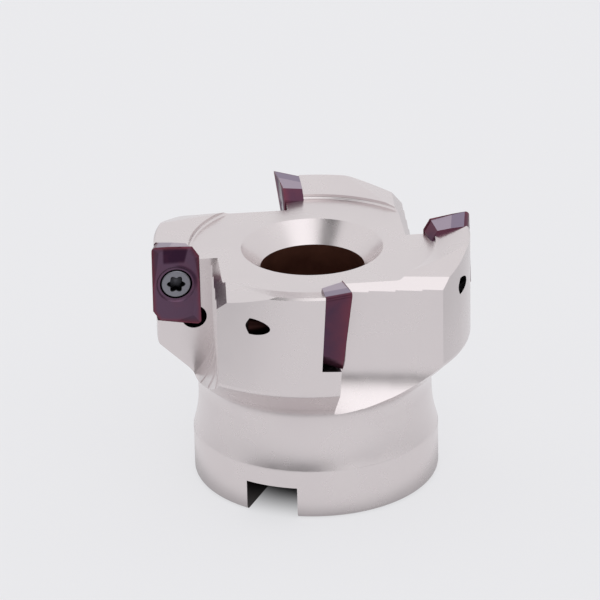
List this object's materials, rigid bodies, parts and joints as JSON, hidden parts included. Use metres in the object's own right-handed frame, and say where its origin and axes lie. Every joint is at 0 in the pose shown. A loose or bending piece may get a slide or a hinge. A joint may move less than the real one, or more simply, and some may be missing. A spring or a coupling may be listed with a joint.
{
  "type": "face mill",
  "caption": "Arbor-mounted 90 degree shoulder face mill: a waisted steel body with a cross drive slot and screwed indexable carbide inserts.",
  "frame": {"origin": "centre of the arbor bore on the hub's mounting face", "axes": "+Z along the spindle axis, from the arbor towards the cutting face; the inserts' noses lie 13.3 degrees anticlockwise of +X, +Y, -X and -Y"},
  "size_m": [0.0614, 0.0614, 0.05],
  "materials": {
    "body_steel": "satin nickel plated steel",
    "coated_carbide": "violet vapour-deposited coating on carbide",
    "screw_steel": "phosphated steel"
  },
  "bodies": {
    "cutter_body": {"cutter_body": "body_steel"},
    "insert_1": {"insert_1": "coated_carbide"},
    "insert_2": {"insert_2": "coated_carbide"},
    "insert_3": {"insert_3": "coated_carbide"},
    "insert_4": {"insert_4": "coated_carbide"},
    "insert_screw_1": {"insert_screw_1": "screw_steel"},
    "insert_screw_2": {"insert_screw_2": "screw_steel"},
    "insert_screw_3": {"insert_screw_3": "screw_steel"},
    "insert_screw_4": {"insert_screw_4": "screw_steel"}
  },
  "joints": [
    {"name": "insert_1_lift", "type": "slide", "parent": "cutter_body", "child": "insert_1", "axis": [-0.1043, 0.9924, -0.0645], "range_m": [0, 0.0063]},
    {"name": "insert_screw_1_turn", "type": "hinge", "parent": "insert_1", "child": "insert_screw_1", "pos_m": [0.02622, 0.00548, 0.04157], "axis": [-0.1043, 0.9924, -0.0645], "range_deg": [0, 3240]},
    {"name": "insert_2_lift", "type": "slide", "parent": "cutter_body", "child": "insert_2", "axis": [-0.9924, -0.1043, -0.0645], "range_m": [0, 0.0063]},
    {"name": "insert_screw_2_turn", "type": "hinge", "parent": "insert_2", "child": "insert_screw_2", "pos_m": [-0.00548, 0.02622, 0.04157], "axis": [-0.9924, -0.1043, -0.0645], "range_deg": [0, 3240]},
    {"name": "insert_3_lift", "type": "slide", "parent": "cutter_body", "child": "insert_3", "axis": [0.1043, -0.9924, -0.0645], "range_m": [0, 0.0063]},
    {"name": "insert_screw_3_turn", "type": "hinge", "parent": "insert_3", "child": "insert_screw_3", "pos_m": [-0.02622, -0.00548, 0.04157], "axis": [0.1043, -0.9924, -0.0645], "range_deg": [0, 3240]},
    {"name": "insert_4_lift", "type": "slide", "parent": "cutter_body", "child": "insert_4", "axis": [0.9924, 0.1043, -0.0645], "range_m": [0, 0.0063]},
    {"name": "insert_screw_4_turn", "type": "hinge", "parent": "insert_4", "child": "insert_screw_4", "pos_m": [0.00548, -0.02622, 0.04157], "axis": [0.9924, 0.1043, -0.0645], "range_deg": [0, 3240]}
  ],
  "couplings": [
    {"joint": "insert_screw_1_turn", "follows": "insert_1_lift", "rad_per_m": 8976},
    {"joint": "insert_screw_2_turn", "follows": "insert_2_lift", "rad_per_m": 8976},
    {"joint": "insert_screw_3_turn", "follows": "insert_3_lift", "rad_per_m": 8976},
    {"joint": "insert_screw_4_turn", "follows": "insert_4_lift", "rad_per_m": 8976}
  ]
}
